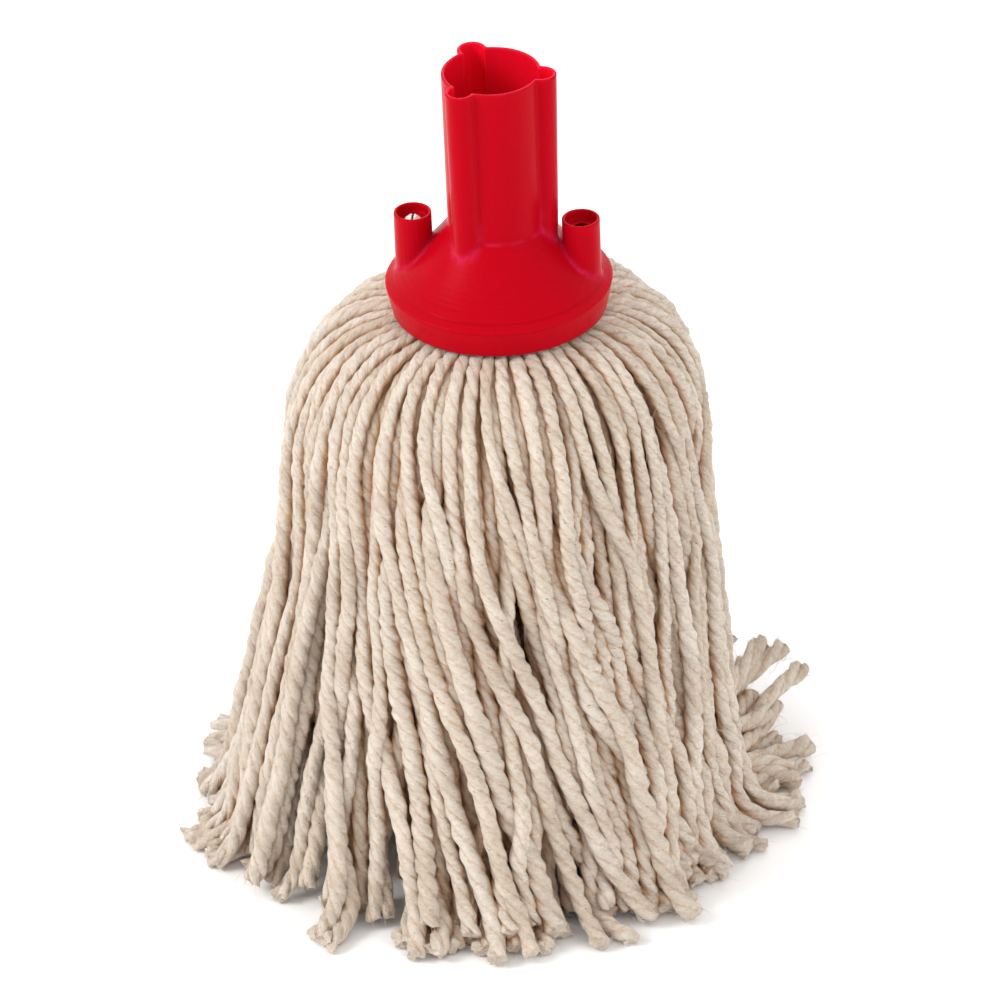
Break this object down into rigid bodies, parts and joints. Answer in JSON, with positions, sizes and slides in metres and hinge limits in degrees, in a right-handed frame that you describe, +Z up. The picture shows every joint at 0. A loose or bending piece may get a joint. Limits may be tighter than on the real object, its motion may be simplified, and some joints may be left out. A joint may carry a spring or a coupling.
{
  "type": "string mop head",
  "caption": "Push-fit mop head: red moulded socket with a flared cup and snap bosses, over a bell of thick cotton strands that swing outward",
  "frame": {"origin": "on the floor that the strands stand on, under the socket's axis, at the middle of the overall box", "axes": "+Z up along the socket's axis towards the handle; +X through the snap boss that stands beside a rib"},
  "size_m": [0.192, 0.192, 0.2653],
  "materials": {
    "socket": "semi-gloss moulded polypropylene, red",
    "nylon": "natural nylon, matte",
    "yarn": "natural unbleached cotton yarn, matte, slightly fuzzy"
  },
  "bodies": {
    "root": {"socket": "socket", "retainer_disc": "nylon", "snap_pin_right": "nylon", "snap_pin_left": "nylon", "yarn_mat": "yarn", "inner_bundle_01": "yarn", "inner_bundle_02": "yarn", "inner_bundle_03": "yarn", "inner_bundle_04": "yarn", "inner_bundle_05": "yarn", "inner_bundle_06": "yarn"},
    "tuft_01": {"tuft_01": "yarn"},
    "tuft_02": {"tuft_02": "yarn"},
    "tuft_03": {"tuft_03": "yarn"},
    "tuft_04": {"tuft_04": "yarn"},
    "tuft_05": {"tuft_05": "yarn"},
    "tuft_06": {"tuft_06": "yarn"},
    "tuft_07": {"tuft_07": "yarn"},
    "tuft_08": {"tuft_08": "yarn"},
    "tuft_09": {"tuft_09": "yarn"},
    "tuft_10": {"tuft_10": "yarn"},
    "tuft_11": {"tuft_11": "yarn"},
    "tuft_12": {"tuft_12": "yarn"}
  },
  "joints": [
    {"name": "swing_01", "type": "hinge", "parent": "root", "child": "tuft_01", "pos_m": [0.0331, 0, 0.1837], "axis": [0, -1, 0], "range_deg": [0, 35]},
    {"name": "swing_02", "type": "hinge", "parent": "root", "child": "tuft_02", "pos_m": [0.02866, 0.01655, 0.1837], "axis": [0.5, -0.866, 0], "range_deg": [0, 35]},
    {"name": "swing_03", "type": "hinge", "parent": "root", "child": "tuft_03", "pos_m": [0.01655, 0.02866, 0.1837], "axis": [0.866, -0.5, 0], "range_deg": [0, 35]},
    {"name": "swing_04", "type": "hinge", "parent": "root", "child": "tuft_04", "pos_m": [0, 0.0331, 0.1837], "axis": [1, 0, 0], "range_deg": [0, 35]},
    {"name": "swing_05", "type": "hinge", "parent": "root", "child": "tuft_05", "pos_m": [-0.01655, 0.02866, 0.1837], "axis": [0.866, 0.5, 0], "range_deg": [0, 35]},
    {"name": "swing_06", "type": "hinge", "parent": "root", "child": "tuft_06", "pos_m": [-0.02866, 0.01655, 0.1837], "axis": [0.5, 0.866, 0], "range_deg": [0, 35]},
    {"name": "swing_07", "type": "hinge", "parent": "root", "child": "tuft_07", "pos_m": [-0.0331, 0, 0.1837], "axis": [0, 1, 0], "range_deg": [0, 35]},
    {"name": "swing_08", "type": "hinge", "parent": "root", "child": "tuft_08", "pos_m": [-0.02866, -0.01655, 0.1837], "axis": [-0.5, 0.866, 0], "range_deg": [0, 35]},
    {"name": "swing_09", "type": "hinge", "parent": "root", "child": "tuft_09", "pos_m": [-0.01655, -0.02866, 0.1837], "axis": [-0.866, 0.5, 0], "range_deg": [0, 35]},
    {"name": "swing_10", "type": "hinge", "parent": "root", "child": "tuft_10", "pos_m": [0, -0.0331, 0.1837], "axis": [-1, 0, 0], "range_deg": [0, 35]},
    {"name": "swing_11", "type": "hinge", "parent": "root", "child": "tuft_11", "pos_m": [0.01655, -0.02866, 0.1837], "axis": [-0.866, -0.5, 0], "range_deg": [0, 35]},
    {"name": "swing_12", "type": "hinge", "parent": "root", "child": "tuft_12", "pos_m": [0.02866, -0.01655, 0.1837], "axis": [-0.5, -0.866, 0], "range_deg": [0, 35]}
  ]
}
